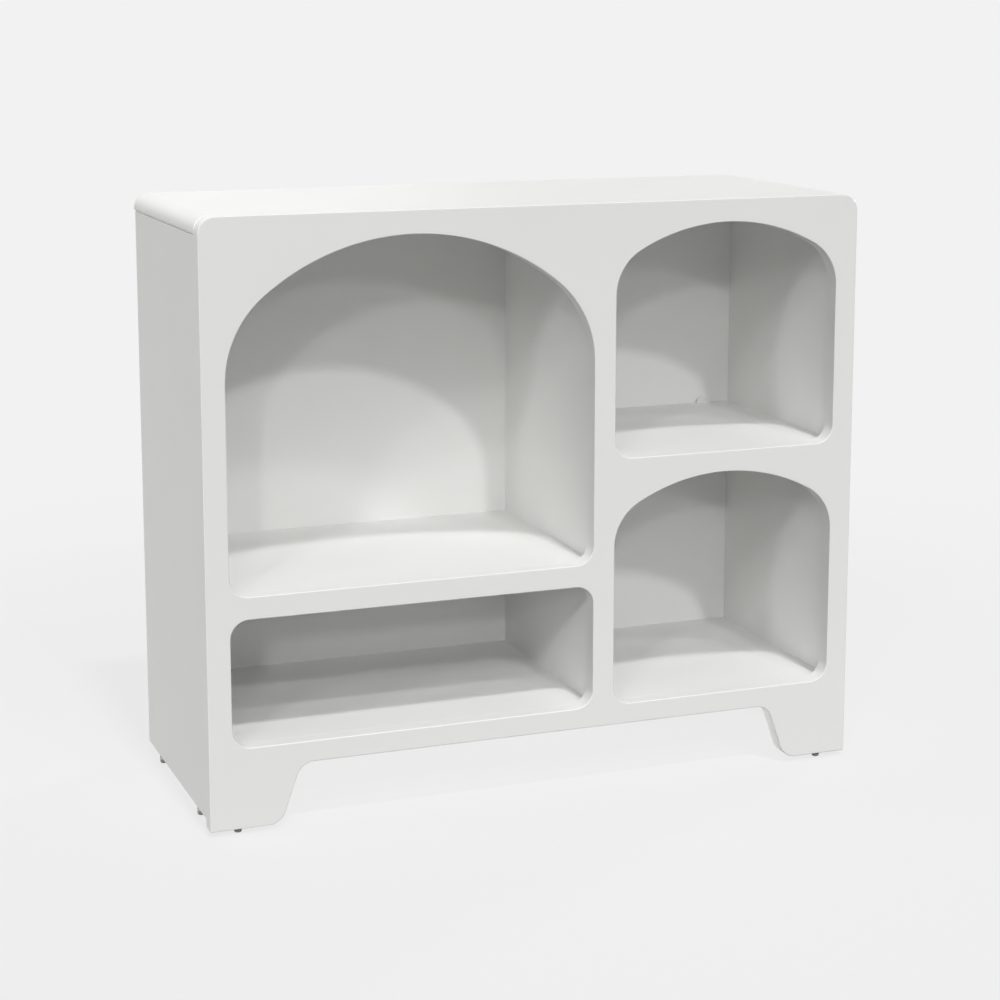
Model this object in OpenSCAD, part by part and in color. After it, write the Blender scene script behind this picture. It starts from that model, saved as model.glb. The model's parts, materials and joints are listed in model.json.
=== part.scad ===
// Low arched bookcase: one cut-out front panel over a panel carcass with four compartments,
// held by cam fittings and dowels, standing on six screw-in levelling feet.
// Frame: +X to the right, +Y to the back, +Z up. The origin is on the floor, under the
// centre of the bookcase.

/* [Overall size] */
// Width over the front panel and the top panel
case_w = 1000; // [960:5:1060]
// Depth from the front face to the rear edges
case_d = 400; // [360:5:440]
// Height of the front panel, feet not included
case_h = 860; // [860:5:900]
// How far the front panel stands above the floor on its feet
floor_gap = 8; // [8:0.5:12]

/* [Boards] */
// Thickness of the front panel
front_t = 25; // [22:1:28]
// Thickness of the top panel
top_t = 27; // [25:1:30]
// Thickness of the sides, divider, shelves and bottom
board_t = 18; // [18:1:19]
// Thickness of the back panel
back_t = 5; // [4:0.5:6]
// How far the back panel sits in from the rear edges
back_recess = 16; // [14:1:20]
// How far each side panel sits in from the ends of the top panel
side_inset = 1.5; // [1:0.5:3]
// How much higher the side panels end than the front panel does
side_lift = 9.5; // [8:0.5:12]

/* [Front panel] */
// Width of the left stile
left_stile = 34; // [30:1:38]
// Width of the stile between the two columns of openings
mid_stile = 33; // [30:1:38]
// Width of the right stile
right_stile = 33; // [30:1:38]
// Clear width of the left openings
left_open_w = 544; // [520:1:560]
// Height of the rail above the openings
top_rail = 34; // [32:1:40]
// Height of the rail between the left openings
left_rail = 32.5; // [28:0.5:38]
// Height of the rail between the right openings
right_rail = 31.5; // [28:0.5:38]
// Height of the rail below the openings
bottom_rail = 30.5; // [28:0.5:36]
// Height of the low opening on the left
low_open_h = 184; // [150:1:200]
// Radius of the rounded corners of the openings
corner_r = 27; // [15:1:30]
// Radius of the two top corners of the front panel
outer_r = 24; // [15:1:26]

/* [Arches] */
// Rise of the large left arch above its springing line
left_rise = 195.5; // [185:0.5:205]
// Radius of the middle stretch of the large left arch
left_crown_r = 342; // [335:1:360]
// Rise of the two right arches above their springing lines
right_rise = 101; // [95:1:105]
// Radius of the middle stretch of the two right arches
right_crown_r = 289; // [280:1:300]

/* [Legs] */
// Height of the cut-out between the legs
leg_h = 86; // [80:1:92]
// Width of each leg at the floor
leg_foot_w = 103; // [95:1:115]
// Width of each leg where it meets the rail
leg_top_w = 132.5; // [128:0.5:145]
// Radius of the rounded corners of the cut-out
leg_r = 27; // [20:1:28]

/* [Top panel ends] */
// Radius along the upper edge of each end
end_upper_r = 22; // [18:1:22]
// Radius along the lower edge of each end
end_lower_r = 5; // [3:0.5:5]

/* [Levelling feet] */
// Distance of each front foot from the outer edge of the front panel
front_foot_inset = 42; // [35:1:55]
// Distance of the side panels' forward feet behind the front face
side_foot_fore = 99; // [80:1:120]
// Distance of the side panels' rear feet ahead of the rear edges
side_foot_rear = 60; // [50:1:80]
// Radius of the foot pads
pad_r = 5.5; // [5:0.25:7]
// How far the feet can be screwed out
foot_travel = 8; // [4:1:8]

/* [Fittings] */
// Distance from a board's end to the middle of its cam locks
cam_setback = 34; // [30:1:36]
// Diameter of the cam locks
cam_d = 15; // [14:1:16]
// Diameter of the dowels
dowel_d = 8; // [6:1:8]
// Length of the dowels
dowel_l = 30; // [28:1:32]

/* [Hidden] */
$fn = 96;

// Running clearance on the radius, and the overshoot of a cut past a face
fit = 0.05;
cut = 1;

// Planes of the carcass
half_w = case_w / 2;
front_y = -case_d / 2;
rear_y = case_d / 2;
carcass_y = front_y + front_t;
back_rear_y = rear_y - back_recess;
inner_y = back_rear_y - back_t;
case_top = floor_gap + case_h;
top_z = case_top - top_t;
side_z = floor_gap + side_lift;
side_out = half_w - side_inset;
side_in = side_out - board_t;

// Openings in the front panel
right_open_w = case_w - left_stile - mid_stile - right_stile - left_open_w;
open_z = floor_gap + leg_h + bottom_rail;
open_top = case_top - top_rail;
left_open_x = -half_w + left_stile;
right_open_x = half_w - right_stile - right_open_w;
big_open_z = open_z + low_open_h + left_rail;
big_open_h = open_top - big_open_z;
right_open_h = (open_top - open_z - right_rail) / 2;
upper_open_z = open_top - right_open_h;

// Boards behind the front panel: every shelf is flush with the lower edge of its opening
divider_x = left_open_x + left_open_w + mid_stile / 2;
divider_left = divider_x - board_t / 2;
divider_right = divider_x + board_t / 2;
bottom_z = open_z - board_t;
left_shelf_z = big_open_z - board_t;
right_shelf_z = upper_open_z - board_t;
half_t = board_t / 2;

// Groove that holds the back panel
groove_d = 6;
groove_play = 0.2;
tongue = groove_d - 0.5;

// Cam fittings and dowels. Each place is [position, rotation]: in its own axes +X points
// into the board that takes the bolt, and +Z to the face that the cam lock goes in by.
cam_h = 12.2;
bolt_pilot_r = 3;
bolt_pilot_d = 12;
bolt_hole_r = 4;
bolt_head_r = 3.3;
bolt_neck_r = 2.2;
bolt_shank_r = 3.4;
bolt_collar_r = 3.8;
bolt_head_half = 1.5;
bolt_neck_end = 6;
bolt_collar_l = 2;
dowel_far = 12;
fore_y = carcass_y + 45;
aft_y = inner_y - 45;
mid_y = (carcass_y + inner_y) / 2;
TO_FRONT = [180, 0, -90];
TO_LEFT = [180, 0, 180];
TO_RIGHT = [180, 0, 0];
UP_FACING_LEFT = [0, -90, 0];
UP_FACING_RIGHT = [0, -90, 180];

// Positions along the boards, across the case or up the stiles
top_cam_xs = [-380, -100, 300];
bottom_cam_xs = [-300, -60, 300];
left_shelf_cam_xs = [-330, -60];
right_shelf_cam_xs = [200, 380];
edge_dowel_zs = [180, 420, 700];

function along_front(xs, z) = [for (x = xs) [[x, carcass_y, z], TO_FRONT]];
function along_depth(x, ys, z, turn) = [for (y = ys) [[x, y, z], turn]];
function up_front(x, zs) = [for (z = zs) [[x, carcass_y, z], TO_FRONT]];

top_front_cams = along_front(top_cam_xs, top_z + half_t);
left_top_cams = along_depth(half_t - side_out, [fore_y, aft_y], top_z, UP_FACING_RIGHT);
right_top_cams = along_depth(side_out - half_t, [fore_y, aft_y], top_z, UP_FACING_LEFT);
divider_top_cams = along_depth(divider_x, [fore_y, aft_y], top_z, UP_FACING_RIGHT);
bottom_front_cams = along_front(bottom_cam_xs, bottom_z + half_t);
bottom_left_cams = along_depth(-side_in, [fore_y, aft_y], bottom_z + half_t, TO_LEFT);
bottom_right_cams = along_depth(side_in, [fore_y, aft_y], bottom_z + half_t, TO_RIGHT);
lshelf_front_cams = along_front(left_shelf_cam_xs, left_shelf_z + half_t);
lshelf_left_cams = along_depth(-side_in, [fore_y, aft_y], left_shelf_z + half_t, TO_LEFT);
lshelf_right_cams =
    along_depth(divider_left, [fore_y, aft_y], left_shelf_z + half_t, TO_RIGHT);
rshelf_front_cams = along_front(right_shelf_cam_xs, right_shelf_z + half_t);
rshelf_left_cams =
    along_depth(divider_right, [fore_y, aft_y], right_shelf_z + half_t, TO_LEFT);
rshelf_right_cams =
    along_depth(side_in, [fore_y, aft_y], right_shelf_z + half_t, TO_RIGHT);

bottom_cams = concat(bottom_front_cams, bottom_left_cams, bottom_right_cams);
lshelf_cams = concat(lshelf_front_cams, lshelf_left_cams, lshelf_right_cams);
rshelf_cams = concat(rshelf_front_cams, rshelf_left_cams, rshelf_right_cams);
CAMS = concat(top_front_cams, left_top_cams, right_top_cams, divider_top_cams,
              bottom_cams, lshelf_cams, rshelf_cams);

left_edge_dowels = up_front(half_t - side_out, edge_dowel_zs);
right_edge_dowels = up_front(side_out - half_t, edge_dowel_zs);
divider_edge_dowels = up_front(divider_x, edge_dowel_zs);
left_top_dowels = along_depth(half_t - side_out, [mid_y], top_z, UP_FACING_RIGHT);
right_top_dowels = along_depth(side_out - half_t, [mid_y], top_z, UP_FACING_LEFT);
divider_top_dowels = along_depth(divider_x, [mid_y], top_z, UP_FACING_RIGHT);
bottom_left_dowels = along_depth(-side_in, [mid_y], bottom_z + half_t, TO_LEFT);
bottom_right_dowels = along_depth(side_in, [mid_y], bottom_z + half_t, TO_RIGHT);
lshelf_left_dowels = along_depth(-side_in, [mid_y], left_shelf_z + half_t, TO_LEFT);
lshelf_right_dowels = along_depth(divider_left, [mid_y], left_shelf_z + half_t, TO_RIGHT);
rshelf_left_dowels = along_depth(divider_right, [mid_y], right_shelf_z + half_t, TO_LEFT);
rshelf_right_dowels = along_depth(side_in, [mid_y], right_shelf_z + half_t, TO_RIGHT);
DOWELS = concat(left_edge_dowels, right_edge_dowels, divider_edge_dowels,
                left_top_dowels, right_top_dowels, divider_top_dowels,
                bottom_left_dowels, bottom_right_dowels,
                lshelf_left_dowels, lshelf_right_dowels,
                rshelf_left_dowels, rshelf_right_dowels);

// Screws through the back panel into the rear edges of the boards, as [x, z]
back_screw_r = 1.5;
back_screw_l = 20;
divider_screw_zs = [220, 400, 590, 770];
bottom_screw_xs = [-420, -260, -100, 30, 230, 400];
left_shelf_screw_xs = [-400, -240, -80];
right_shelf_screw_xs = [200, 370];
divider_back_screws = [for (z = divider_screw_zs) [divider_x, z]];
bottom_back_screws = [for (x = bottom_screw_xs) [x, bottom_z + half_t]];
lshelf_back_screws = [for (x = left_shelf_screw_xs) [x, left_shelf_z + half_t]];
rshelf_back_screws = [for (x = right_shelf_screw_xs) [x, right_shelf_z + half_t]];
BACK_SCREWS = concat(divider_back_screws, bottom_back_screws,
                     lshelf_back_screws, rshelf_back_screws);

// Screws up through the bottom panel into the divider
divider_screw_ys = [carcass_y + 60, mid_y, inner_y - 60];
divider_screw_r = 2.5;
divider_screw_l = 50;
divider_head_h = 3;

// Wall brackets, under the rear edge of the top panel
bracket_w = 44;
bracket_leg = 14;
bracket_drop = 26;
bracket_t = 2;
bracket_x = 330;
bracket_hole_gap = 26;
bracket_screw_y = rear_y - 8;
wall_hole_z = -16;
wall_hole_r = 2.6;
bracket_screw_r = 1.75;
bracket_screw_l = 16;

// Half-round clip that holds the back panel down on the upper right shelf
clip_r = 10.5;
clip_t = 6;
clip_x = side_in - 49;
clip_y = inner_y - clip_t / 2;
clip_peg_r = 2.5;
clip_peg_l = 8;

// Levelling feet: [x, y, height of the board's lower edge]
front_foot_x = half_w - front_foot_inset;
front_foot_y = front_y + front_t / 2;
side_foot_x = side_out - half_t;
mid_foot_y = front_y + side_foot_fore;
rear_foot_y = rear_y - side_foot_rear;
FRONT_LEFT = [-front_foot_x, front_foot_y, floor_gap];
FRONT_RIGHT = [front_foot_x, front_foot_y, floor_gap];
MID_LEFT = [-side_foot_x, mid_foot_y, side_z];
MID_RIGHT = [side_foot_x, mid_foot_y, side_z];
REAR_LEFT = [-side_foot_x, rear_foot_y, side_z];
REAR_RIGHT = [side_foot_x, rear_foot_y, side_z];
FEET = [FRONT_LEFT, FRONT_RIGHT, MID_LEFT, MID_RIGHT, REAR_LEFT, REAR_RIGHT];
pad_h = 5;
pad_flat_r = pad_r - 2.5;
socket_r = 4;
socket_z = 1.5;
socket_top = 3.8;
thread_r = 3;
collar_af = 10;
collar_z = 5.3;
stop_gap = 0.3;
insert_r = 5;
insert_l = 14;
thread_in = insert_l + foot_travel;
foot_bore_d = thread_in + 4;

// ---- helpers -------------------------------------------------------------------------

// The waste outside a quarter round of radius r, at a corner on the origin whose material
// lies towards -X and -Y
module spandrel(r) {
    difference() {
        translate([-r, -r]) square(r + cut);
        translate([-r, -r]) circle(r = r);
    }
}

// Points along a circle of radius r about c, from angle a to angle b
function arc(c, r, a, b, n = 12) =
    [for (i = [0:n]) c + r * [cos(a + (b - a) * i / n), sin(a + (b - a) * i / n)]];

// Centre of the round of radius r that touches both edges of a corner at c, where the
// edges leave the corner at angles a1 and a2
function round_centre(c, a1, a2, r) =
    c + r / sin((a2 - a1) / 2) * [cos((a1 + a2) / 2), sin((a1 + a2) / 2)];

// A w by h rectangle with corners of radius r
module round_rect(w, h, r) {
    polygon(concat(arc([w - r, r], r, -90, 0), arc([w - r, h - r], r, 0, 90),
                   arc([r, h - r], r, 90, 180), arc([r, r], r, 180, 270)));
}

// Radius of the side stretches of a three-centred arch
function haunch_r(half, rise, crown) =
    (crown * crown - half * half - pow(crown - rise, 2)) / (2 * (crown - half));

// An opening w wide and h high whose top is a three-centred arch and whose lower corners
// are rounded
module arch_opening(w, h, rise, crown) {
    half = w / 2;
    spring = h - rise;
    side_r = haunch_r(half, rise, crown);
    spread = atan2(half - side_r, spring - h + crown);
    crown_arc = arc([half, h - crown], crown, 90 - spread, 90 + spread, 40);
    polygon(concat(
        arc([w - corner_r, corner_r], corner_r, -90, 0),
        arc([w - side_r, spring], side_r, 0, 90 - spread, 20),
        [for (i = [1:39]) crown_arc[i]],
        arc([side_r, spring], side_r, 90 + spread, 180, 20),
        arc([corner_r, corner_r], corner_r, 180, 270)
    ));
}

// Lower edge of the front panel from its left corner to the rail: along the foot, up the
// slanting edge of the leg, and on to the rail, with a round at each turn
function left_leg_edge() =
    let (foot = [leg_foot_w - half_w, 0],
         rail = [leg_top_w - half_w, leg_h],
         slant = atan2(leg_h, leg_top_w - leg_foot_w))
    concat(
        [[-half_w, 0]],
        arc(round_centre(foot, slant, 180, leg_r), leg_r, -90, slant - 90),
        arc(round_centre(rail, 180 + slant, 360, leg_r), leg_r, 90 + slant, 90)
    );

// Outline of the front panel, without its openings
module panel_outline() {
    left = left_leg_edge();
    right = [for (i = [len(left) - 1:-1:0]) [-left[i][0], left[i][1]]];
    polygon(concat(left, right,
                   arc([half_w - outer_r, case_h - outer_r], outer_r, 0, 90, 16),
                   arc([outer_r - half_w, case_h - outer_r], outer_r, 90, 180, 16)));
}

// A board between two opposite corners
module board(low, high) {
    translate(low) cube(high - low);
}

// Its children at every place in a list of [position, rotation]
module at_places(places) {
    for (p = places) translate(p[0]) rotate(p[1]) children();
}

// Its children at every [x, z] on the rear face of the back panel, with +Z to the front
module at_back(places) {
    for (p = places) translate([p[0], back_rear_y, p[1]]) rotate([90, 0, 0]) children();
}

// A ring or rod along X between two distances
module rod_x(r, from, to) {
    translate([from, 0, 0]) rotate([0, 90, 0]) cylinder(r = r, h = to - from);
}

// Cut in a board for a cam lock and the bolt that reaches it
module cam_cut() {
    translate([-cam_setback, 0, half_t - cam_h - 0.5]) cylinder(d = cam_d, h = cam_h + 0.5 + cut);
    rod_x(bolt_hole_r, -cam_setback, cut);
}

// Cut in the other board for the bolt's thread
module bolt_cut() {
    rod_x(bolt_pilot_r, -cut, bolt_pilot_d);
}

// Cuts for a dowel in the board that ends at the joint, and in the other one
module dowel_near_cut() {
    rod_x(dowel_d / 2 + fit, dowel_far - dowel_l - 1, cut);
}

module dowel_far_cut() {
    rod_x(dowel_d / 2 + fit, -cut, dowel_far + 1);
}

// Cut for a screw that enters a board's rear edge
module back_screw_cut() {
    translate([0, 0, -cut]) cylinder(r = back_screw_r + fit, h = back_screw_l + cut + 1);
}

module back_screw_cuts(places) {
    at_back(places) back_screw_cut();
}

// Cuts for a foot's threaded insert and for the end of its thread
module foot_cut(place) {
    translate(place - [0, 0, cut]) cylinder(r = insert_r, h = insert_l + cut);
    translate(place) cylinder(r = thread_r + 0.5, h = foot_bore_d);
}

// ---- boards --------------------------------------------------------------------------

// The front face: the outline with its four openings
module front_outline() {
    difference() {
        translate([0, floor_gap]) panel_outline();
        translate([left_open_x, big_open_z])
            arch_opening(left_open_w, big_open_h, left_rise, left_crown_r);
        translate([left_open_x, open_z])
            round_rect(left_open_w, low_open_h, corner_r);
        for (z = [open_z, upper_open_z]) translate([right_open_x, z])
            arch_opening(right_open_w, right_open_h, right_rise, right_crown_r);
    }
}

module front_panel() {
    color("white") difference() {
        translate([0, carcass_y, 0]) rotate([90, 0, 0]) linear_extrude(front_t) front_outline();
        at_places(concat(top_front_cams, bottom_front_cams, lshelf_front_cams,
                         rshelf_front_cams)) bolt_cut();
        at_places(concat(left_edge_dowels, right_edge_dowels, divider_edge_dowels))
            dowel_far_cut();
        foot_cut(FRONT_LEFT);
        foot_cut(FRONT_RIGHT);
    }
}

// Section of the top panel: each end is round above and, less, below
module top_outline() {
    difference() {
        translate([-half_w, 0]) square([case_w, top_t]);
        for (m = [0, 1]) mirror([m, 0]) {
            translate([half_w, top_t]) spandrel(end_upper_r);
            translate([half_w, 0]) mirror([0, 1]) spandrel(end_lower_r);
        }
    }
}

module top_panel() {
    color("white") difference() {
        translate([0, rear_y, top_z]) rotate([90, 0, 0])
            linear_extrude(rear_y - carcass_y) top_outline();
        board([-side_in - groove_d, inner_y - groove_play, top_z - cut],
              [side_in + groove_d, back_rear_y + groove_play, top_z + groove_d]);
        at_places(top_front_cams) cam_cut();
        at_places(concat(left_top_cams, right_top_cams, divider_top_cams)) bolt_cut();
        at_places(concat(left_top_dowels, right_top_dowels, divider_top_dowels))
            dowel_far_cut();
        for (s = [-1, 1], t = [-1, 1])
            translate([s * bracket_x + t * bracket_hole_gap / 2, bracket_screw_y, top_z - cut])
                cylinder(r = bracket_screw_r + fit, h = bracket_screw_l + cut);
    }
}

// A side panel on the right, before its fittings are cut
module side_board() {
    difference() {
        board([side_in, carcass_y, side_z], [side_out, rear_y, top_z]);
        board([side_in - cut, inner_y - groove_play, bottom_z],
              [side_in + groove_d, back_rear_y + groove_play, top_z + cut]);
    }
}

module left_side_panel() {
    color("white") difference() {
        mirror([1, 0, 0]) side_board();
        at_places(left_top_cams) cam_cut();
        at_places(concat(bottom_left_cams, lshelf_left_cams)) bolt_cut();
        at_places(concat(left_edge_dowels, left_top_dowels)) dowel_near_cut();
        at_places(concat(bottom_left_dowels, lshelf_left_dowels)) dowel_far_cut();
        foot_cut(MID_LEFT);
        foot_cut(REAR_LEFT);
    }
}

module right_side_panel() {
    color("white") difference() {
        side_board();
        at_places(right_top_cams) cam_cut();
        at_places(concat(bottom_right_cams, rshelf_right_cams)) bolt_cut();
        at_places(concat(right_edge_dowels, right_top_dowels)) dowel_near_cut();
        at_places(concat(bottom_right_dowels, rshelf_right_dowels)) dowel_far_cut();
        foot_cut(MID_RIGHT);
        foot_cut(REAR_RIGHT);
    }
}

module bottom_panel() {
    color("white") difference() {
        board([-side_in, carcass_y, bottom_z], [side_in, inner_y, open_z]);
        at_places(bottom_cams) cam_cut();
        at_places(concat(bottom_left_dowels, bottom_right_dowels)) dowel_near_cut();
        back_screw_cuts(bottom_back_screws);
        for (y = divider_screw_ys) translate([divider_x, y, bottom_z]) divider_screw_cut();
    }
}

module centre_divider() {
    color("white") difference() {
        board([divider_left, carcass_y, open_z], [divider_right, inner_y, top_z]);
        at_places(divider_top_cams) cam_cut();
        at_places(concat(lshelf_right_cams, rshelf_left_cams)) bolt_cut();
        at_places(concat(divider_edge_dowels, divider_top_dowels)) dowel_near_cut();
        at_places(concat(lshelf_right_dowels, rshelf_left_dowels)) dowel_far_cut();
        back_screw_cuts(divider_back_screws);
        for (y = divider_screw_ys) translate([divider_x, y, bottom_z]) divider_screw_cut();
    }
}

module left_shelf() {
    color("white") difference() {
        board([-side_in, carcass_y, left_shelf_z], [divider_left, inner_y, big_open_z]);
        at_places(lshelf_cams) cam_cut();
        at_places(concat(lshelf_left_dowels, lshelf_right_dowels)) dowel_near_cut();
        back_screw_cuts(lshelf_back_screws);
    }
}

module right_shelf() {
    color("white") difference() {
        board([divider_right, carcass_y, right_shelf_z], [side_in, inner_y, upper_open_z]);
        at_places(rshelf_cams) cam_cut();
        at_places(concat(rshelf_left_dowels, rshelf_right_dowels)) dowel_near_cut();
        back_screw_cuts(rshelf_back_screws);
        translate([clip_x, clip_y, upper_open_z - clip_peg_l - 1])
            cylinder(r = clip_peg_r + fit, h = clip_peg_l + 1 + cut);
    }
}

module back_panel() {
    color("white") difference() {
        board([-side_in - tongue, inner_y, bottom_z],
              [side_in + tongue, back_rear_y, top_z + tongue]);
        back_screw_cuts(BACK_SCREWS);
    }
}

// ---- fittings ------------------------------------------------------------------------

// A half-round block against the back panel, pegged into the shelf
module back_panel_clip() {
    color("whitesmoke") {
        translate([clip_x, inner_y, upper_open_z]) rotate([90, 0, 0]) linear_extrude(clip_t)
            intersection() {
                circle(r = clip_r);
                translate([-clip_r, 0]) square([2 * clip_r, clip_r]);
            }
        translate([clip_x, clip_y, upper_open_z - clip_peg_l])
            cylinder(r = clip_peg_r, h = clip_peg_l);
    }
}

// A steel angle under the top panel, with two holes for wall screws in its upright leg
module wall_bracket(x) {
    color("silver") translate([x, rear_y, top_z]) difference() {
        union() {
            board([-bracket_w / 2, -bracket_leg, -bracket_t], [bracket_w / 2, 0, 0]);
            board([-bracket_w / 2, -bracket_t, -bracket_drop], [bracket_w / 2, 0, 0]);
        }
        for (s = [-1, 1]) translate([s * bracket_hole_gap / 2, 0, 0]) {
            translate([0, bracket_screw_y - rear_y, -bracket_t - cut])
                cylinder(r = bracket_screw_r + 0.25, h = bracket_t + 2 * cut);
            translate([0, cut, wall_hole_z]) rotate([90, 0, 0])
                cylinder(r = wall_hole_r, h = bracket_t + 2 * cut);
        }
    }
}

module left_wall_bracket() {
    wall_bracket(-bracket_x);
}

module right_wall_bracket() {
    wall_bracket(bracket_x);
}

// A round-headed screw whose head rests on the origin and whose shank runs up +Z
module pan_screw(r, l) {
    head_r = 2.2 * r;
    head_h = 1.4 * r;
    point = 1.5 * r;
    slot_w = 0.8;
    difference() {
        rotate_extrude() polygon([
            [0, -head_h], [0.7 * head_r, -head_h], [head_r, -0.4 * head_h], [head_r, 0],
            [r, 0], [r, l - point], [0, l]
        ]);
        for (a = [0, 90]) rotate(a)
            board([-head_r / 2, -slot_w / 2, -head_h - cut], [head_r / 2, slot_w / 2, -0.4 * head_h]);
    }
}

module bracket_screws() {
    color("silver") for (s = [-1, 1], t = [-1, 1])
        translate([s * bracket_x + t * bracket_hole_gap / 2, bracket_screw_y, top_z - bracket_t])
            pan_screw(bracket_screw_r, bracket_screw_l);
}

module back_panel_screws() {
    color("silver") at_back(BACK_SCREWS) pan_screw(back_screw_r, back_screw_l);
}

// Cut for a countersunk screw from below, from the underside of the bottom panel
module divider_screw_cut() {
    translate([0, 0, -cut]) cylinder(r = divider_screw_r + fit, h = divider_screw_l + cut + 1);
    translate([0, 0, -cut]) cylinder(r = 2 * divider_screw_r + fit, h = divider_head_h + cut);
}

module divider_screws() {
    head_r = 2 * divider_screw_r;
    sunk = 0.3;
    point = 4;
    socket = 2;
    color("silver") for (y = divider_screw_ys) translate([divider_x, y, bottom_z])
        difference() {
            rotate_extrude() polygon([
                [0, sunk], [head_r, sunk], [head_r, divider_head_h],
                [divider_screw_r, divider_head_h],
                [divider_screw_r, divider_screw_l - point], [0, divider_screw_l]
            ]);
            translate([0, 0, sunk - cut]) cylinder(r = socket, h = socket + cut, $fn = 6);
        }
}

// The eccentric barrel, hollowed from the side for the bolt's head, with a cross slot
module cam_lock() {
    slot_l = 8;
    slot_w = 1.8;
    slot_d = 2;
    translate([-cam_setback, 0, half_t - cam_h]) difference() {
        cylinder(d = cam_d - 4 * fit, h = cam_h);
        for (a = [45, 135]) rotate(a)
            board([-slot_l / 2, -slot_w / 2, cam_h - slot_d], [slot_l / 2, slot_w / 2, cam_h + cut]);
        translate([0, 0, cam_h - half_t]) rod_x(bolt_hole_r - fit, -4, cam_d);
    }
}

module cam_locks() {
    color("silver") at_places(CAMS) cam_lock();
}

// The bolt: thread and collar at one end, neck and head inside the cam lock at the other
module cam_bolt() {
    head_z = -cam_setback - bolt_head_half;
    neck_z = -cam_setback + bolt_head_half;
    shank_z = -cam_setback + bolt_neck_end;
    bolt_thread_r = bolt_pilot_r - fit;
    rotate([0, 90, 0]) rotate_extrude() polygon([
        [0, head_z], [bolt_head_r, head_z], [bolt_head_r, neck_z],
        [bolt_neck_r, neck_z], [bolt_neck_r, shank_z], [bolt_shank_r, shank_z],
        [bolt_shank_r, -bolt_collar_l], [bolt_collar_r, -bolt_collar_l], [bolt_collar_r, 0],
        [bolt_thread_r, 0], [bolt_thread_r, bolt_pilot_d - 2], [0, bolt_pilot_d - 1]
    ]);
}

module cam_bolts() {
    color("silver") at_places(CAMS) cam_bolt();
}

// Thin stick-on discs over the cam locks, with a chamfered rim
module cam_caps() {
    cap_r = cam_d / 2 + 1;
    cap_t = 1;
    cap_chamfer = 0.5;
    color("whitesmoke") at_places(CAMS) translate([-cam_setback, 0, half_t])
        rotate_extrude() polygon([
            [0, 0], [cap_r, 0], [cap_r, cap_t - cap_chamfer], [cap_r - cap_chamfer, cap_t],
            [0, cap_t]
        ]);
}

module dowels() {
    near = dowel_far - dowel_l;
    r = dowel_d / 2;
    nose = 1.5;
    color("burlywood") at_places(DOWELS) rotate([0, 90, 0]) rotate_extrude() polygon([
        [0, near], [r - 1, near], [r, near + nose], [r, dowel_far - nose],
        [r - 1, dowel_far], [0, dowel_far]
    ]);
}

module threaded_inserts() {
    color("goldenrod") for (p = FEET) translate(p) difference() {
        cylinder(r = insert_r - fit, h = insert_l);
        translate([0, 0, -cut]) cylinder(r = thread_r + fit, h = insert_l + 2 * cut);
    }
}

// ---- levelling feet ------------------------------------------------------------------

// A domed pad on the floor, with a socket that the stud turns in
module foot_pad(place) {
    color("darkgray") translate([place[0], place[1], 0]) rotate_extrude() difference() {
        square([pad_r, pad_h]);
        translate([pad_r, 0]) mirror([0, 1]) spandrel(pad_r - pad_flat_r);
        translate([-cut, socket_z]) square([socket_r + cut, socket_top - socket_z]);
        translate([-cut, socket_z]) square([thread_r + fit + cut, pad_h]);
    }
}

// The stud: a flange inside the pad, a six-sided collar under the board and a thread
module foot_stud(place) {
    color("gray") translate([place[0], place[1], 0]) {
        rotate_extrude() polygon([
            [0, socket_z + fit], [socket_r - fit, socket_z + fit],
            [socket_r - fit, socket_top - fit], [thread_r, socket_top - fit],
            [thread_r, place[2] + thread_in - 1], [thread_r - 1, place[2] + thread_in],
            [0, place[2] + thread_in]
        ]);
        translate([0, 0, collar_z])
            cylinder(d = collar_af / cos(30), h = place[2] - stop_gap - collar_z, $fn = 6);
    }
}

module front_left_foot_pad() { foot_pad(FRONT_LEFT); }
module front_right_foot_pad() { foot_pad(FRONT_RIGHT); }
module mid_left_foot_pad() { foot_pad(MID_LEFT); }
module mid_right_foot_pad() { foot_pad(MID_RIGHT); }
module rear_left_foot_pad() { foot_pad(REAR_LEFT); }
module rear_right_foot_pad() { foot_pad(REAR_RIGHT); }
module front_left_foot_stud() { foot_stud(FRONT_LEFT); }
module front_right_foot_stud() { foot_stud(FRONT_RIGHT); }
module mid_left_foot_stud() { foot_stud(MID_LEFT); }
module mid_right_foot_stud() { foot_stud(MID_RIGHT); }
module rear_left_foot_stud() { foot_stud(REAR_LEFT); }
module rear_right_foot_stud() { foot_stud(REAR_RIGHT); }

front_panel();
top_panel();
left_side_panel();
right_side_panel();
bottom_panel();
centre_divider();
left_shelf();
right_shelf();
back_panel();
back_panel_clip();
left_wall_bracket();
right_wall_bracket();
bracket_screws();
back_panel_screws();
divider_screws();
cam_locks();
cam_bolts();
cam_caps();
dowels();
threaded_inserts();
front_left_foot_pad();
front_right_foot_pad();
mid_left_foot_pad();
mid_right_foot_pad();
rear_left_foot_pad();
rear_right_foot_pad();
front_left_foot_stud();
front_right_foot_stud();
mid_left_foot_stud();
mid_right_foot_stud();
rear_left_foot_stud();
rear_right_foot_stud();
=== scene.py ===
"""Looks of a low white arched bookcase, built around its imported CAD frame.

The boards keep their CAD shapes. Here their edges are rounded as on sprayed fibreboard, every
surface gets its finish, and the levelling studs are rebuilt with real screw threads.
"""

import json
import math

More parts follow.
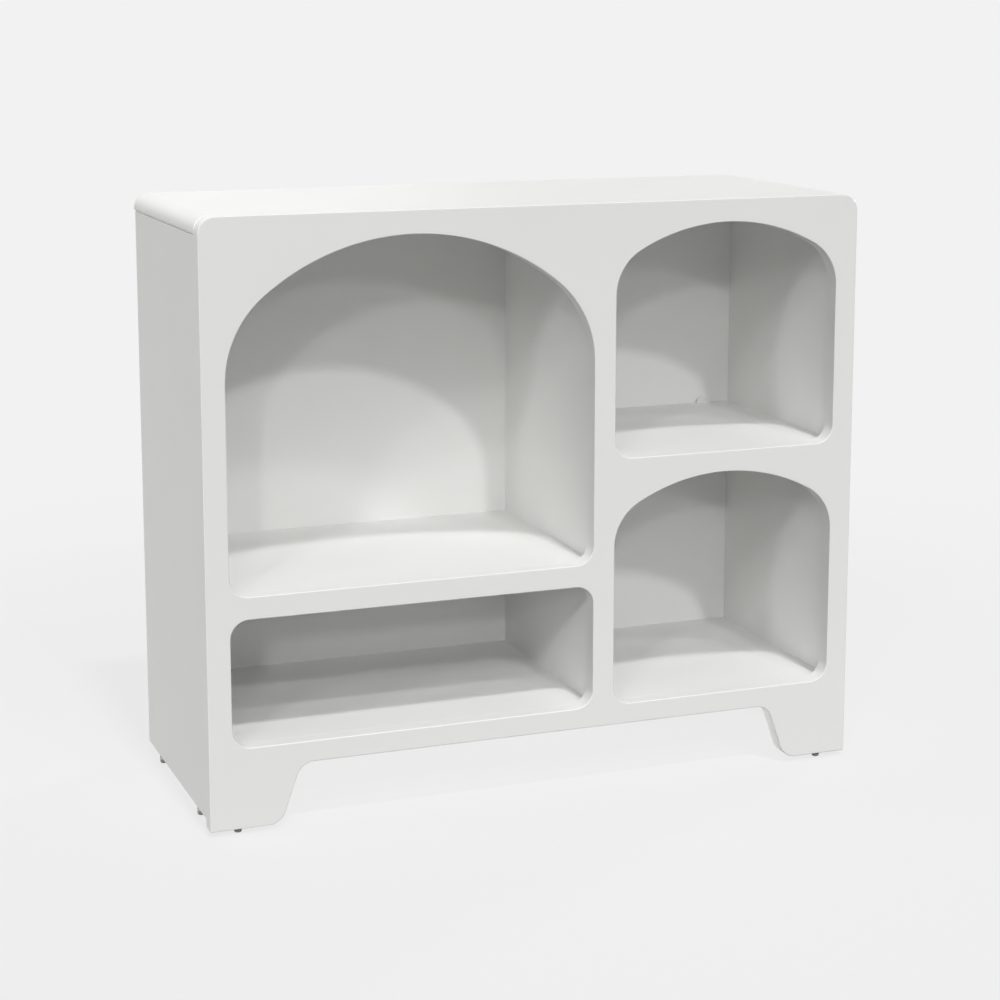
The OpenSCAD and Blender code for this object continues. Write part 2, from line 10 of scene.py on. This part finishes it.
import bmesh
import bpy
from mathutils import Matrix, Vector


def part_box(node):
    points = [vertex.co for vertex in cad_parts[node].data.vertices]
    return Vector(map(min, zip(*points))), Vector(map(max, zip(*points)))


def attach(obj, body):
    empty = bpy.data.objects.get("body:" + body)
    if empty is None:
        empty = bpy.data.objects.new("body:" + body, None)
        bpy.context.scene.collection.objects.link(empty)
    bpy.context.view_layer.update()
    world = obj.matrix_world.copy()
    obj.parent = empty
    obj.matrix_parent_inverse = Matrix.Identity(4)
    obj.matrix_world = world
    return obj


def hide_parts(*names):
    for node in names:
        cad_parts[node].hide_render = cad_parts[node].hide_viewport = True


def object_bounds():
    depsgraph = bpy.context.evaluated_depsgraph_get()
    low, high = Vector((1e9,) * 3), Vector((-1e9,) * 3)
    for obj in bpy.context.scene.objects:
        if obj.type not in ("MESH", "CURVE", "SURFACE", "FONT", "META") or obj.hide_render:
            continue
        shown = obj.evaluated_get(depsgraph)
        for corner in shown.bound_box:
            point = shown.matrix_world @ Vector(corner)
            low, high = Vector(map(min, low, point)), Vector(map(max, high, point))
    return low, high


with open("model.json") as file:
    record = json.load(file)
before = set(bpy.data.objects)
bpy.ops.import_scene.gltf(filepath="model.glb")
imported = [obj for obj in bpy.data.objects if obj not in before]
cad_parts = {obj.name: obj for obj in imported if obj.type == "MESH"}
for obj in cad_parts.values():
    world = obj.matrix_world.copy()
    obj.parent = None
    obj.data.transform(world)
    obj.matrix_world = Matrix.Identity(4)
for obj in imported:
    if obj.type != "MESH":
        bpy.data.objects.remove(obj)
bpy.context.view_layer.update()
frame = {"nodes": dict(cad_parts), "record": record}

MM = 0.001
NODES = frame["nodes"]

FRONT_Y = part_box("front_panel")[0].y
REAR_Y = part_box("top_panel")[1].y
INNER_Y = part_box("back_panel")[0].y

FEET = [end + "_" + side + "_foot" for end in ("front", "mid", "rear") for side in ("left", "right")]


# ---- camera, light and floor -------------------------------------------------------------

# Linear value of the pale studio tone that the floor and the backdrop share
STUDIO_TONE = 0.888
# How strongly the surroundings show in reflections and light the object, as shares of it
REFLECTED = 0.6
AMBIENT = 0.06
# How much of the floor's tone near the object is lit paint, which takes the shadows
FLOOR_PAINT = 0.15
# The floor's paint fades out between these distances from the origin, in metres
FADE_START = 0.9
FADE_END = 2.4
FLOOR_R = 40
# The floor lies a hair under the feet
FLOOR_DROP = 0.2 * MM
# The card's share of the case's width and depth, its height and its power in watts
CARD_SHARE = 0.9
CARD_Z = 4 * MM
CARD_POWER = 0.8


def add_camera():
    """A long lens from the left front, a little above the top."""
    data = bpy.data.cameras.new("camera")
    data.sensor_width = 36
    data.lens = 82.8
    data.shift_y = -0.11
    data.clip_end = 100
    camera = bpy.data.objects.new("camera", data)
    camera.location = (-1.213, -3.196, 1.165)
    yaw, pitch = math.radians(-20.91), math.radians(90 - 9.85)
    camera.rotation_euler = (pitch, 0, yaw)
    bpy.context.scene.collection.objects.link(camera)
    bpy.context.scene.camera = camera


def add_sun(name, azimuth, elevation, strength, spread=3.0):
    """A distant soft light. Azimuth 0 is straight in front, and positive is to the right."""
    data = bpy.data.lights.new(name, "SUN")
    data.energy = strength
    data.angle = math.radians(spread)
    light = bpy.data.objects.new(name, data)
    a, e = math.radians(azimuth), math.radians(elevation)
    towards = Vector((math.sin(a) * math.cos(e), -math.cos(a) * math.cos(e), math.sin(e)))
    light.rotation_mode = "QUATERNION"
    light.rotation_quaternion = towards.to_track_quat("Z", "Y")
    bpy.context.scene.collection.objects.link(light)


def add_lights():
    """A bank of softboxes. The first four draw the arched shadow edges in the compartments.
    The rest fill them and keep the sides, the top and the rear readable."""
    add_sun("low_front", -3.9, 16.2, 0.15)
    add_sun("left_front", -21.6, 19.7, 0.26)
    add_sun("high_front", 3.9, 32.7, 0.56)
    add_sun("steep_front", 1, 59.6, 1.2, 4)
    add_sun("left_high", -35, 40, 0.24)
    add_sun("left_middle", -40, 30, 0.26, 4)
    add_sun("left_low", -60, 20, 0.28, 6)
    add_sun("right_high", 15, 45, 0.36, 4)
    add_sun("wide_front", -5, 42, 0.14, 45)
    add_sun("overhead", 0, 78, 0.18, 15)
    add_sun("rear_left", -105, 10, 0.96, 12)
    add_sun("rear", 175, 8, 0.18, 30)
    add_sun("rear_right", 120, 12, 1.6, 12)


def add_under_light():
    """A card on the floor under the case, for the light that a white floor gives back to
    the legs and the underside."""
    low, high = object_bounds()
    data = bpy.data.lights.new("under_card", "AREA")
    data.shape = "RECTANGLE"
    data.size = CARD_SHARE * (high.x - low.x)
    data.size_y = CARD_SHARE * (high.y - low.y)
    data.energy = CARD_POWER
    card = bpy.data.objects.new("under_card", data)
    card.location = ((low.x + high.x) / 2, (low.y + high.y) / 2, CARD_Z)
    card.rotation_euler.x = math.pi
    card.visible_camera = False
    bpy.context.scene.collection.objects.link(card)


def by_ray(nodes, links, ray, seen, other):
    """One strength for the rays of a kind, and another, a number or a socket, for the rest."""
    path = nodes.new("ShaderNodeLightPath")
    strength = nodes.new("ShaderNodeMapRange")
    strength.inputs["To Max"].default_value = seen
    links.new(path.outputs[ray], strength.inputs["Value"])
    if isinstance(other, float):
        strength.inputs["To Min"].default_value = other
    else:
        links.new(other, strength.inputs["To Min"])
    return strength.outputs["Result"]


def set_world():
    """The studio tone behind the object, softer in its reflections, and a dim even light."""
    world = bpy.data.worlds.new("studio")
    bpy.context.scene.world = world
    world.use_nodes = True
    nodes, links = world.node_tree.nodes, world.node_tree.links
    nodes.clear()
    backdrop = nodes.new("ShaderNodeBackground")
    backdrop.inputs["Color"].default_value = (STUDIO_TONE, STUDIO_TONE, STUDIO_TONE, 1)
    out = nodes.new("ShaderNodeOutputWorld")
    dimmer = by_ray(nodes, links, "Is Glossy Ray", REFLECTED, AMBIENT)
    strength = by_ray(nodes, links, "Is Camera Ray", 1.0, dimmer)
    links.new(strength, backdrop.inputs["Strength"])
    links.new(backdrop.outputs["Background"], out.inputs["Surface"])


def floor_material():
    """A pale sweep: it takes a faint shadow near the object and fades to the studio tone."""
    mat, nodes, links = blank_material("pale_floor")
    mat.cycles.emission_sampling = "NONE"
    place = nodes.new("ShaderNodeTexCoord")
    length = nodes.new("ShaderNodeVectorMath")
    length.operation = "LENGTH"
    fade = nodes.new("ShaderNodeMapRange")
    fade.interpolation_type = "SMOOTHSTEP"
    fade.inputs["From Min"].default_value = FADE_START
    fade.inputs["From Max"].default_value = FADE_END
    fade.inputs["To Min"].default_value = 1 - FLOOR_PAINT
    fade.inputs["To Max"].default_value = 1.0
    paint = nodes.new("ShaderNodeBsdfDiffuse")
    paint.inputs["Color"].default_value = (0.73, 0.73, 0.73, 1)
    glow = nodes.new("ShaderNodeEmission")
    glow.inputs["Color"].default_value = (STUDIO_TONE, STUDIO_TONE, STUDIO_TONE, 1)
    mix = nodes.new("ShaderNodeMixShader")
    out = nodes.new("ShaderNodeOutputMaterial")
    reflected = by_ray(nodes, links, "Is Glossy Ray", 1.0, 0.0)
    strength = by_ray(nodes, links, "Is Camera Ray", 1.0, reflected)
    links.new(strength, glow.inputs["Strength"])
    links.new(place.outputs["Object"], length.inputs[0])
    links.new(length.outputs["Value"], fade.inputs["Value"])
    links.new(fade.outputs["Result"], mix.inputs["Fac"])
    links.new(paint.outputs["BSDF"], mix.inputs[1])
    links.new(glow.outputs["Emission"], mix.inputs[2])
    links.new(mix.outputs["Shader"], out.inputs["Surface"])
    return mat


def add_floor():
    """A wide round floor at the height that the feet stand on."""
    mesh = bpy.data.meshes.new("floor")
    shape = bmesh.new()
    bmesh.ops.create_circle(shape, cap_ends=True, segments=96, radius=FLOOR_R)
    shape.to_mesh(mesh)
    shape.free()
    floor = bpy.data.objects.new("floor", mesh)
    floor.location.z = -FLOOR_DROP
    mesh.materials.append(floor_material())
    bpy.context.scene.collection.objects.link(floor)


# ---- material helpers --------------------------------------------------------------------


def blank_material(name):
    """A material with no nodes yet. Returns it with its node lists."""
    mat = bpy.data.materials.new(name)
    mat.use_nodes = True
    mat.node_tree.nodes.clear()
    return mat, mat.node_tree.nodes, mat.node_tree.links


def surface(name, roughness, metallic=0.0, **sockets):
    """A Principled material. Returns it with its node lists, its shader and its coordinates."""
    mat, nodes, links = blank_material(name)
    shader = nodes.new("ShaderNodeBsdfPrincipled")
    out = nodes.new("ShaderNodeOutputMaterial")
    links.new(shader.outputs["BSDF"], out.inputs["Surface"])
    shader.inputs["Roughness"].default_value = roughness
    shader.inputs["Metallic"].default_value = metallic
    for socket, value in sockets.items():
        shader.inputs[socket.replace("_", " ")].default_value = value
    place = nodes.new("ShaderNodeTexCoord").outputs["Object"]
    return mat, nodes, links, shader, place


def stretched(nodes, links, place, scale):
    """The coordinates, scaled by a different amount along each axis."""
    mapping = nodes.new("ShaderNodeMapping")
    mapping.inputs["Scale"].default_value = scale
    links.new(place, mapping.inputs["Vector"])
    return mapping.outputs["Vector"]


def noise(nodes, links, place, scale, detail=2.0, rough=0.5):
    """Noise with so many features to the metre."""
    tex = nodes.new("ShaderNodeTexNoise")
    tex.inputs["Scale"].default_value = scale
    tex.inputs["Detail"].default_value = detail
    tex.inputs["Roughness"].default_value = rough
    links.new(place, tex.inputs["Vector"])
    return tex.outputs["Fac"]


def ramp(nodes, links, fac, low, high, start=0.0, end=1.0):
    """A colour that goes from low to high as fac goes from start to end."""
    node = nodes.new("ShaderNodeValToRGB")
    node.color_ramp.elements[0].position = start
    node.color_ramp.elements[1].position = end
    node.color_ramp.elements[0].color = (*low, 1)
    node.color_ramp.elements[1].color = (*high, 1)
    links.new(fac, node.inputs["Fac"])
    return node.outputs["Color"]


def spread(nodes, links, fac, low, high, start=0.3, end=0.7):
    """A number that goes from low to high as fac goes from start to end."""
    node = nodes.new("ShaderNodeMapRange")
    node.inputs["From Min"].default_value = start
    node.inputs["From Max"].default_value = end
    node.inputs["To Min"].default_value = low
    node.inputs["To Max"].default_value = high
    links.new(fac, node.inputs["Value"])
    return node.outputs["Result"]


def bump(nodes, links, shader, height, distance, under=None):
    """Relief of a real height, in metres, on top of the relief under it."""
    node = nodes.new("ShaderNodeBump")
    node.inputs["Strength"].default_value = 1.0
    node.inputs["Distance"].default_value = distance
    links.new(height, node.inputs["Height"])
    if under:
        links.new(under, node.inputs["Normal"])
    links.new(node.outputs["Normal"], shader.inputs["Normal"])
    return node.outputs["Normal"]


# ---- materials ---------------------------------------------------------------------------


def painted_board():
    """Sprayed satin paint: an even white with faint drifts of tone and a fine orange peel."""
    mat, nodes, links, shader, place = surface("painted_board", 0.42)
    drift = noise(nodes, links, place, 3.0, 3.0)
    tone = ramp(nodes, links, drift, (0.895, 0.895, 0.88), (0.91, 0.91, 0.897), 0.3, 0.7)
    links.new(tone, shader.inputs["Base Color"])
    gloss = noise(nodes, links, place, 14.0, 4.0, 0.6)
    links.new(spread(nodes, links, gloss, 0.38, 0.46), shader.inputs["Roughness"])
    swell = bump(nodes, links, shader, noise(nodes, links, place, 60.0, 2.0), 0.00004)
    bump(nodes, links, shader, noise(nodes, links, place, 700.0, 2.0), 0.00001, swell)
    return mat


def painted_thin_board():
    """The back panel's paint: the same white, thinner, over a faint fibre texture."""
    mat, nodes, links, shader, place = surface("painted_thin_board", 0.48)
    drift = noise(nodes, links, place, 2.5, 3.0)
    tone = ramp(nodes, links, drift, (0.89, 0.89, 0.875), (0.905, 0.905, 0.892), 0.3, 0.7)
    links.new(tone, shader.inputs["Base Color"])
    gloss = noise(nodes, links, place, 20.0, 4.0, 0.6)
    links.new(spread(nodes, links, gloss, 0.44, 0.53), shader.inputs["Roughness"])
    fibres = noise(nodes, links, stretched(nodes, links, place, (400, 400, 900)), 1.0, 3.0)
    bump(nodes, links, shader, fibres, 0.00002)
    return mat


def white_plastic():
    """Matte moulded plastic with a fine spark-eroded grain."""
    mat, nodes, links, shader, place = surface("white_plastic", 0.5)
    tone = noise(nodes, links, place, 30.0, 2.0)
    links.new(
        ramp(nodes, links, tone, (0.80, 0.80, 0.79), (0.83, 0.83, 0.82)),
        shader.inputs["Base Color"],
    )
    grain = noise(nodes, links, place, 2500.0, 2.0)
    links.new(spread(nodes, links, grain, 0.45, 0.58), shader.inputs["Roughness"])
    bump(nodes, links, shader, grain, 0.00001)
    return mat


def grey_plastic():
    """Grey nylon, a little scuffed."""
    mat, nodes, links, shader, place = surface("grey_plastic", 0.5)
    scuffs = noise(nodes, links, place, 260.0, 5.0, 0.65)
    links.new(
        ramp(nodes, links, scuffs, (0.34, 0.34, 0.342), (0.44, 0.44, 0.442), 0.4, 0.75),
        shader.inputs["Base Color"],
    )
    links.new(spread(nodes, links, scuffs, 0.42, 0.62), shader.inputs["Roughness"])
    bump(nodes, links, shader, noise(nodes, links, place, 1800.0, 2.0), 0.00002)
    return mat


def plated(name, low, high, rough, scale):
    """Zinc plate: cloudy tone, uneven gloss and fine marks."""
    mat, nodes, links, shader, place = surface(name, rough, metallic=1.0)
    clouds = noise(nodes, links, place, scale, 4.0, 0.6)
    links.new(ramp(nodes, links, clouds, low, high, 0.3, 0.7), shader.inputs["Base Color"])
    marks = noise(nodes, links, stretched(nodes, links, place, (900, 900, 140)), 1.0, 4.0)
    links.new(
        spread(nodes, links, marks, rough - 0.07, rough + 0.09), shader.inputs["Roughness"]
    )
    bump(nodes, links, shader, marks, 0.00001)
    return mat


def die_cast_zinc():
    """Tumbled casting: dull and grainy."""
    mat, nodes, links, shader, place = surface("die_cast_zinc", 0.5, metallic=1.0)
    grain = noise(nodes, links, place, 900.0, 4.0, 0.6)
    links.new(
        ramp(nodes, links, grain, (0.44, 0.44, 0.45), (0.60, 0.60, 0.61), 0.3, 0.7),
        shader.inputs["Base Color"],
    )
    links.new(spread(nodes, links, grain, 0.42, 0.6), shader.inputs["Roughness"])
    bump(nodes, links, shader, grain, 0.00003)
    return mat


def brass():
    """Turned brass with a light tarnish."""
    mat, nodes, links, shader, place = surface("brass", 0.3, metallic=1.0)
    tarnish = noise(nodes, links, place, 160.0, 4.0, 0.6)
    links.new(
        ramp(nodes, links, tarnish, (0.60, 0.42, 0.17), (0.80, 0.62, 0.32), 0.35, 0.7),
        shader.inputs["Base Color"],
    )
    links.new(spread(nodes, links, tarnish, 0.38, 0.24), shader.inputs["Roughness"])
    return mat


def beech():
    """Bare beech: fine grain with short darker flecks."""
    mat, nodes, links, shader, place = surface("beech", 0.6)
    grain = noise(nodes, links, stretched(nodes, links, place, (300, 60, 300)), 1.0, 5.0, 0.6)
    links.new(
        ramp(nodes, links, grain, (0.48, 0.30, 0.16), (0.68, 0.49, 0.30), 0.35, 0.7),
        shader.inputs["Base Color"],
    )
    bump(nodes, links, shader, grain, 0.00008)
    return mat


def make_materials():
    """One material for each of the record's slots."""
    return {
        "painted_board": painted_board(),
        "painted_thin_board": painted_thin_board(),
        "white_plastic": white_plastic(),
        "grey_plastic": grey_plastic(),
        "zinc_plate": plated("zinc_plate", (0.50, 0.51, 0.53), (0.64, 0.65, 0.66), 0.36, 90.0),
        "zinc_screw": plated("zinc_screw", (0.52, 0.53, 0.54), (0.68, 0.68, 0.68), 0.28, 300.0),
        "zinc_stud": plated("zinc_stud", (0.34, 0.34, 0.35), (0.48, 0.48, 0.49), 0.34, 250.0),
        "die_cast_zinc": die_cast_zinc(),
        "beech": beech(),
        "brass": brass(),
    }


def dress_nodes(materials):
    """Every CAD node takes the material of its slot in the record."""
    for part in frame["record"]["subparts"]:
        node = NODES[part["node"]]
        node.data.materials.clear()
        node.data.materials.append(materials[part["material_slot"]])


# ---- rounded edges -----------------------------------------------------------------------

# Only edges sharper than this are rounded
CREASE = math.radians(30)
# Doubled points up to this far apart are one point
SEAM = 0.002 * MM
# Faces that differ by less than this are merged into one
FLAT = math.radians(0.5)


def compare(tree, first, operation, value):
    """Whether a number is more or less than a value."""
    node = tree.nodes.new("FunctionNodeCompare")
    node.data_type = "FLOAT"
    node.operation = operation
    tree.links.new(first, node.inputs[0])
    node.inputs[1].default_value = value
    return node.outputs[0]


def choose(tree, test, yes, no):
    """One number or another, by a test. Each is a socket or a plain number."""
    node = tree.nodes.new("GeometryNodeSwitch")
    node.input_type = "FLOAT"
    tree.links.new(test, node.inputs["Switch"])
    for name, value in (("True", yes), ("False", no)):
        if isinstance(value, float):
            node.inputs[name].default_value = value
        else:
            tree.links.new(value, node.inputs[name])
    return node.outputs["Output"]


def edge_share(tree, bands, default):
    """An edge's share of the bevel width: default, or what bands gives for its place in y."""
    place = tree.nodes.new("GeometryNodeInputPosition")
    split = tree.nodes.new("ShaderNodeSeparateXYZ")
    tree.links.new(place.outputs["Position"], split.inputs["Vector"])
    share = default
    for low, high, value in bands:
        both = tree.nodes.new("FunctionNodeBooleanMath")
        both.operation = "AND"
        above = compare(tree, split.outputs["Y"], "GREATER_THAN", low)
        below = compare(tree, split.outputs["Y"], "LESS_THAN", high)
        tree.links.new(above, both.inputs[0])
        tree.links.new(below, both.inputs[1])
        share = choose(tree, both.outputs[0], value, share)
    return share


def edge_weights(name, bands, default):
    """A node group that gives each sharp edge its share of the bevel width, and 0 to the rest.
    Each of the bands is (low y, high y, share)."""
    tree = bpy.data.node_groups.new(name, "GeometryNodeTree")
    tree.interface.new_socket("Geometry", in_out="INPUT", socket_type="NodeSocketGeometry")
    tree.interface.new_socket("Geometry", in_out="OUTPUT", socket_type="NodeSocketGeometry")
    start = tree.nodes.new("NodeGroupInput")
    end = tree.nodes.new("NodeGroupOutput")
    angle = tree.nodes.new("GeometryNodeInputMeshEdgeAngle")
    sharp = compare(tree, angle.outputs["Unsigned Angle"], "GREATER_THAN", CREASE)
    store = tree.nodes.new("GeometryNodeStoreNamedAttribute")
    store.data_type = "FLOAT"
    store.domain = "EDGE"
    store.inputs["Name"].default_value = "bevel_weight_edge"
    share = choose(tree, sharp, edge_share(tree, bands, default), 0.0)
    tree.links.new(start.outputs["Geometry"], store.inputs["Geometry"])
    tree.links.new(share, store.inputs["Value"])
    tree.links.new(store.outputs["Geometry"], end.inputs["Geometry"])
    return tree


def join_seams(piece):
    """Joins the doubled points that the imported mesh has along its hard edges."""
    weld = piece.modifiers.new("join", "WELD")
    weld.merge_threshold = SEAM


def smooth_shading(piece):
    """Shades flat faces flat and the rounded strips between them smoothly."""
    normals = piece.modifiers.new("shading", "WEIGHTED_NORMAL")
    normals.weight = 100
    normals.keep_sharp = True


def round_board(name, width, bands, default):
    """Rounds a board's edges: width on the edges with a share of 1, and less elsewhere."""
    board = NODES[name]
    join_seams(board)
    merge = board.modifiers.new("merge_flats", "DECIMATE")
    merge.decimate_type = "DISSOLVE"
    merge.angle_limit = FLAT
    weights = board.modifiers.new("edge_weights", "NODES")
    weights.node_group = edge_weights(name + "_edges", bands, default)
    bevel = board.modifiers.new("round", "BEVEL")
    bevel.limit_method = "WEIGHT"
    bevel.width = width
    bevel.segments = 3
    bevel.use_clamp_overlap = False
    bevel.harden_normals = True
    smooth_shading(board)


def round_boards():
    """The front panel's show edges are rounded most. Where boards meet, the edges are only
    broken, which draws the fine line that a tight joint shows. Each band of y takes in the
    edges of one face."""
    near = 0.2 * MM
    front_face = (FRONT_Y - near, FRONT_Y + near, 1.0)
    back_joint = (INNER_Y - near, INNER_Y + near, 1.0)
    rear_face = (REAR_Y - near, REAR_Y + near, 1.0)
    round_board("front_panel", 1.3 * MM, [front_face], 0.25)
    for name in ("left_side_panel", "right_side_panel", "top_panel"):
        round_board(name, 0.9 * MM, [rear_face], 0.4)
    for name in ("bottom_panel", "centre_divider", "left_shelf", "right_shelf"):
        round_board(name, 0.7 * MM, [back_joint], 0.5)
    round_board("back_panel", 0.3 * MM, [], 1.0)


def round_fittings():
    """Small metal and plastic parts get a hair of rounding on every edge."""
    widths = {
        "back_panel_clip": 0.6,
        "left_wall_bracket": 0.3,
        "right_wall_bracket": 0.3,
        "bracket_screws": 0.12,
        "back_panel_screws": 0.12,
        "divider_screws": 0.15,
        "cam_locks": 0.2,
        "cam_caps": 0.2,
        "threaded_inserts": 0.15,
    }
    widths.update({foot + "_pad": 0.3 for foot in FEET})
    for name, width in widths.items():
        fitting = NODES[name]
        join_seams(fitting)
        bevel = fitting.modifiers.new("round", "BEVEL")
        bevel.limit_method = "ANGLE"
        bevel.angle_limit = CREASE
        bevel.width = width * MM
        bevel.segments = 2
        bevel.use_clamp_overlap = True
        bevel.harden_normals = True
        smooth_shading(fitting)


# ---- levelling studs ---------------------------------------------------------------------

STUD_SEGMENTS = 36
SMOOTH = math.radians(35)
THREAD_R = 3 * MM
THREAD_DEPTH = 0.5 * MM
PITCH = 1 * MM
ROWS_PER_TURN = 8
FLANGE_R = 3.95 * MM
FLANGE_LOW = 1.55 * MM
FLANGE_HIGH = 3.75 * MM
COLLAR_R = 5 * MM
COLLAR_LOW = 5.3 * MM
# The thread reaches so far above the collar's top
THREAD_ABOVE = 22.3 * MM
EDGE = 0.2 * MM


def flat_ring(z, radius):
    """A round ring."""
    return z, lambda angle: radius


def collar_ring(z, low, high):
    """A hexagon whose corners are turned down to a 30 degree chamfer at both ends."""
    turned = COLLAR_R - EDGE / 2 + min(z - low, high - z) / math.tan(math.radians(30))

    def radius(angle):
        from_flat = angle % math.radians(60) - math.radians(30)
        return min(COLLAR_R / math.cos(from_flat), turned)

    return z, radius


def thread_ring(z, tip):
    """A rounded thread that runs out into the chamfered point."""

    def radius(angle):
        crest = 0.5 + 0.5 * math.cos(math.tau * z / PITCH - angle)
        return min(THREAD_R - THREAD_DEPTH * (1 - crest), THREAD_R - MM + tip - z)

    return z, radius


def stud_rings(tip):
    """Every ring of a stud from its underside to its tip, as (height, radius by angle)."""
    high = tip - THREAD_ABOVE
    shank_r = THREAD_R - THREAD_DEPTH / 2
    rings = [
        flat_ring(FLANGE_LOW, FLANGE_R - EDGE),
        flat_ring(FLANGE_LOW + EDGE, FLANGE_R),
        flat_ring(FLANGE_HIGH - EDGE, FLANGE_R),
        flat_ring(FLANGE_HIGH, FLANGE_R - EDGE),
        flat_ring(FLANGE_HIGH, shank_r),
        flat_ring(COLLAR_LOW, shank_r),
    ]
    chamfer = [0, 0.15 * MM, 0.3 * MM, 0.45 * MM, 0.6 * MM]
    rings += [collar_ring(COLLAR_LOW + rise, COLLAR_LOW, high) for rise in chamfer]
    rings += [collar_ring(high - drop, COLLAR_LOW, high) for drop in reversed(chamfer)]
    rings.append(flat_ring(high, shank_r))
    rows = round((tip - high) / PITCH * ROWS_PER_TURN)
    rings += [thread_ring(high + (tip - high) * i / rows, tip) for i in range(1, rows + 1)]
    return rings


def turned_mesh(name, centre, rings):
    """A closed solid through rings about an upright axis, with its sharp edges kept."""
    shape = bmesh.new()
    angles = [math.tau * i / STUD_SEGMENTS for i in range(STUD_SEGMENTS)]
    loops = [
        [
            shape.verts.new(
                (centre.x + radius(a) * math.cos(a), centre.y + radius(a) * math.sin(a), z)
            )
            for a in angles
        ]
        for z, radius in rings
    ]
    for low, high in zip(loops, loops[1:]):
        for i in range(STUD_SEGMENTS):
            shape.faces.new((low[i - 1], low[i], high[i], high[i - 1]))
    shape.faces.new(reversed(loops[0]))
    shape.faces.new(loops[-1])
    for face in shape.faces:
        face.smooth = True
    for edge in shape.edges:
        edge.smooth = edge.calc_face_angle() < SMOOTH
    mesh = bpy.data.meshes.new(name)
    shape.to_mesh(mesh)
    shape.free()
    return mesh


def add_studs(materials):
    """Each stud gets its thread and a chamfered six-sided collar, in place of the CAD's
    plain cylinders."""
    for foot in FEET:
        node = foot + "_stud"
        low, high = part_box(node)
        mesh = turned_mesh(node + "_thread", (low + high) / 2, stud_rings(high.z))
        stud = bpy.data.objects.new(node + "_thread", mesh)
        mesh.materials.append(materials["zinc_stud"])
        bpy.context.scene.collection.objects.link(stud)
        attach(stud, node.replace("_foot", ""))
        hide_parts(node)


# ---- build -------------------------------------------------------------------------------

scene = bpy.context.scene
scene.view_settings.view_transform = "Standard"

add_camera()
set_world()
add_lights()
add_under_light()
add_floor()
materials = make_materials()
dress_nodes(materials)
round_boards()
round_fittings()
add_studs(materials)
